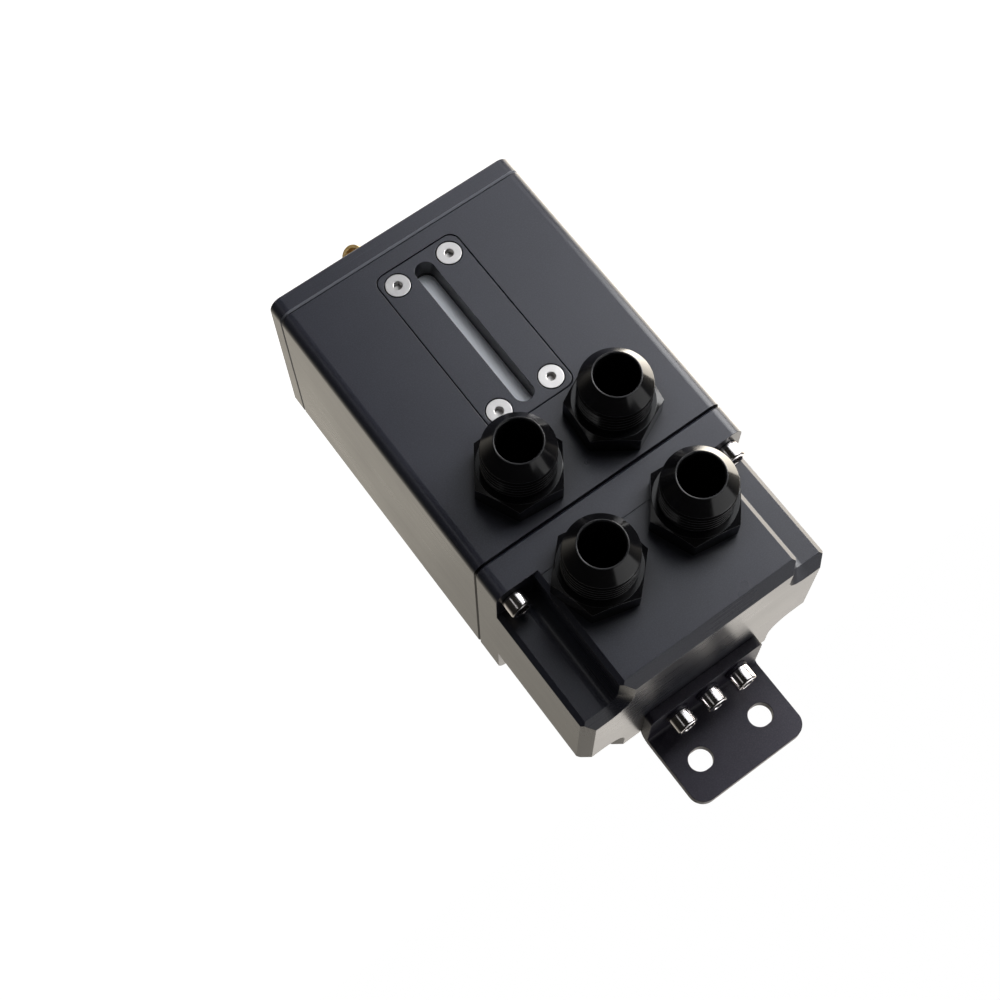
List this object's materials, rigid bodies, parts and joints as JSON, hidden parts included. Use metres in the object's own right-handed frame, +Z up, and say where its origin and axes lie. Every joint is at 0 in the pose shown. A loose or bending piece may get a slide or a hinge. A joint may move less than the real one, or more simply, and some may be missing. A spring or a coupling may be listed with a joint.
{
  "type": "oil catch can",
  "caption": "Square aluminium oil catch can with flared hose fittings, a slot sight glass, a notched bolted lid, a wall bracket and a brass drain cock.",
  "frame": {"origin": "midway between the bracket's two slots, on the face of the bracket that meets the wall", "axes": "+Z up along the can, from the drain cock to the bracket; +Y into the wall, so the front with the hose fittings faces -Y; +X to the right as seen from the front"},
  "size_m": [0.089, 0.0931, 0.2039],
  "materials": {
    "anodised_dark": "dark grey satin anodising with faint machining lines",
    "anodised_black": "glossy black anodising on turned threads and hexagons",
    "powder_coat": "black satin powder coat with a fine grain",
    "polished_steel": "polished socket cap screws",
    "zinc_steel": "pale silvery countersunk screws, finely turned",
    "window_plastic": "clear window with a pale frosted look",
    "black_rubber": "smooth black rubber",
    "filter_steel": "bright perforated sheet",
    "filter_mesh": "knitted wire",
    "drain_brass": "warm turned and stamped brass"
  },
  "bodies": {
    "can": {"body": "anodised_dark", "bottom_plate": "anodised_dark", "bottom_seal": "black_rubber", "bottom_screws": "zinc_steel", "lid": "anodised_dark", "lid_seal": "black_rubber", "lid_screws": "polished_steel", "baffle_plate": "filter_steel", "mesh_pad": "filter_mesh", "pad_screen": "filter_steel", "sight_cover": "anodised_dark", "sight_window": "window_plastic", "sight_seals": "black_rubber", "sight_screws": "zinc_steel", "fitting_lower_left": "anodised_black", "fitting_lower_right": "anodised_black", "fitting_upper_left": "anodised_black", "fitting_upper_right": "anodised_black", "fitting_seals": "black_rubber", "bracket": "powder_coat", "bracket_washers": "powder_coat", "bracket_screws": "polished_steel", "drain_body": "drain_brass"},
    "drain_carrier": {"drain_seal": "black_rubber"},
    "drain_key": {"drain_stem": "drain_brass", "drain_handle": "drain_brass"}
  },
  "joints": [
    {"name": "drain_slide", "type": "slide", "parent": "can", "child": "drain_carrier", "axis": [0, 0, 1], "range_m": [0, 0.00476]},
    {"name": "drain_turn", "type": "hinge", "parent": "drain_carrier", "child": "drain_key", "pos_m": [0, -0.03425, -0.1776], "axis": [0, 0, 1], "range_deg": [0, 1080]}
  ],
  "couplings": [
    {"joint": "drain_turn", "follows": "drain_slide", "rad_per_m": 3957.9}
  ]
}
